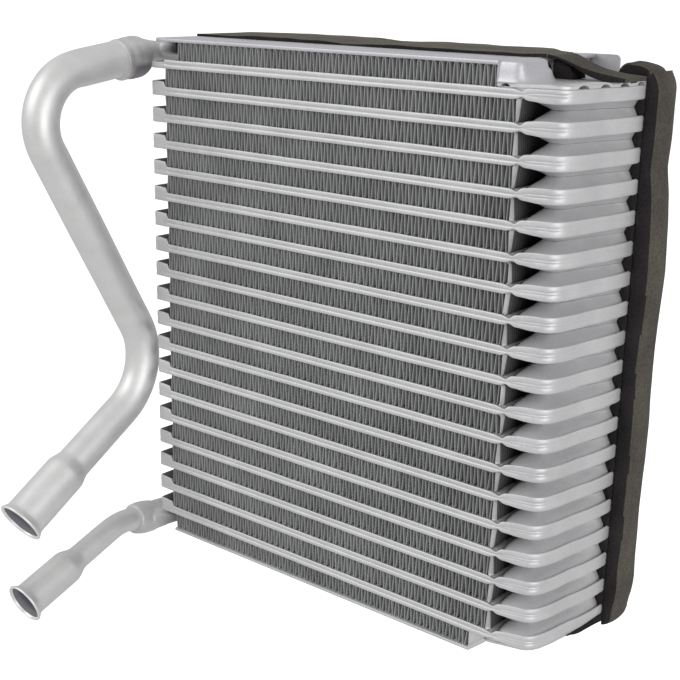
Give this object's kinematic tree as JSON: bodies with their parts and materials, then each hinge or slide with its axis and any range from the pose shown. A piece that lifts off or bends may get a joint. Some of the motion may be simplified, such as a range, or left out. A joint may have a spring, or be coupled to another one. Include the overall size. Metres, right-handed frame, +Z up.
{
  "type": "air conditioning evaporator",
  "caption": "Plate-and-fin air conditioning evaporator core with a stacked cup tank, foam edge seals, a bent suction pipe and a short liquid pipe.",
  "frame": {"origin": "centre of the core block's base: middle of its width and depth, at the underside of the bottom side plate", "axes": "+X towards the tank end, -Y out of the front air face, +Z up across the stacked tubes; the pipes are at -X and reach towards -Y"},
  "size_m": [0.2391, 0.1477, 0.2572],
  "materials": {
    "brazed_aluminium": "matte brazed",
    "fin_aluminium": "matte",
    "plate_aluminium": "matte brazed",
    "pipe_aluminium": "satin",
    "foam": "matte"
  },
  "bodies": {
    "root": {"tube_plates_01": "brazed_aluminium", "tube_plates_02": "brazed_aluminium", "tube_plates_03": "brazed_aluminium", "tube_plates_04": "brazed_aluminium", "tube_plates_05": "brazed_aluminium", "tube_plates_06": "brazed_aluminium", "tube_plates_07": "brazed_aluminium", "tube_plates_08": "brazed_aluminium", "tube_plates_09": "brazed_aluminium", "tube_plates_10": "brazed_aluminium", "tube_plates_11": "brazed_aluminium", "tube_plates_12": "brazed_aluminium", "tube_plates_13": "brazed_aluminium", "tube_plates_14": "brazed_aluminium", "tube_plates_15": "brazed_aluminium", "tube_plates_16": "brazed_aluminium", "tube_plates_17": "brazed_aluminium", "tube_plates_18": "brazed_aluminium", "tube_plates_19": "brazed_aluminium", "fin_01_front": "fin_aluminium", "fin_01_rear": "fin_aluminium", "fin_02": "fin_aluminium", "fin_03": "fin_aluminium", "fin_04": "fin_aluminium", "fin_05": "fin_aluminium", "fin_06": "fin_aluminium", "fin_07": "fin_aluminium", "fin_08": "fin_aluminium", "fin_09": "fin_aluminium", "fin_10": "fin_aluminium", "fin_11": "fin_aluminium", "fin_12": "fin_aluminium", "fin_13": "fin_aluminium", "fin_14": "fin_aluminium", "fin_15": "fin_aluminium", "fin_16": "fin_aluminium", "fin_17": "fin_aluminium", "fin_18": "fin_aluminium", "fin_19": "fin_aluminium", "fin_20_front": "fin_aluminium", "fin_20_rear": "fin_aluminium", "top_side_plate": "plate_aluminium", "bottom_side_plate": "plate_aluminium", "top_tank_cover": "plate_aluminium", "bottom_tank_cover": "plate_aluminium", "rear_bracket": "plate_aluminium", "suction_duct": "brazed_aluminium", "liquid_duct": "brazed_aluminium", "suction_collar": "pipe_aluminium", "liquid_collar": "pipe_aluminium", "suction_pipe": "pipe_aluminium", "liquid_pipe": "pipe_aluminium", "foam_top": "foam", "foam_right": "foam", "foam_fold": "foam", "foam_bottom": "foam"}
  },
  "joints": []
}
